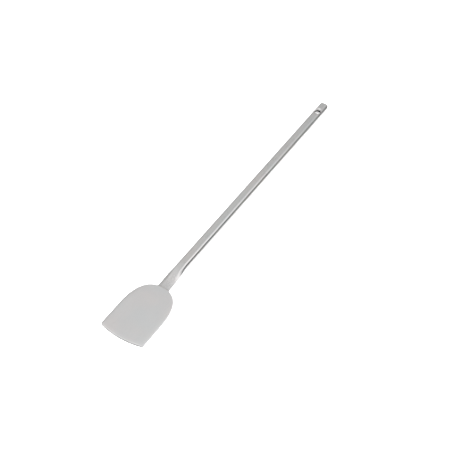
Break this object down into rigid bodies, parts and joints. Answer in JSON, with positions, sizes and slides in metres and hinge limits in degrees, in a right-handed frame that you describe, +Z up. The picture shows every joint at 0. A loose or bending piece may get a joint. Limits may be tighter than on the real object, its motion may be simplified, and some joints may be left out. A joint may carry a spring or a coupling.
{
  "type": "mortar mixing paddle",
  "caption": "Long-handled stainless steel mixing paddle with a flat spade-shaped blade and a hollow flat-oval handle with a hanging hole.",
  "frame": {"origin": "centre of the bounding box in plan, on the surface that the paddle lies on", "axes": "+X along the handle from the blade's working edge to the hanging end, +Y across the blade, +Z up out of the blade's front face"},
  "size_m": [0.914, 0.114, 0.0133],
  "materials": {
    "blade_steel": "fine satin stainless steel sheet with faint mottling",
    "handle_steel": "satin stainless steel tube, brushed lengthwise",
    "weld_metal": "rippled weld bead, cleaned and dulled"
  },
  "bodies": {
    "root": {"blade": "blade_steel", "handle_tube": "handle_steel", "end_cap": "handle_steel", "end_cap_weld": "weld_metal", "front_weld": "weld_metal", "corner_weld_left": "weld_metal", "corner_weld_right": "weld_metal", "back_weld_left": "weld_metal", "back_weld_right": "weld_metal", "back_weld_end": "weld_metal"}
  },
  "joints": []
}
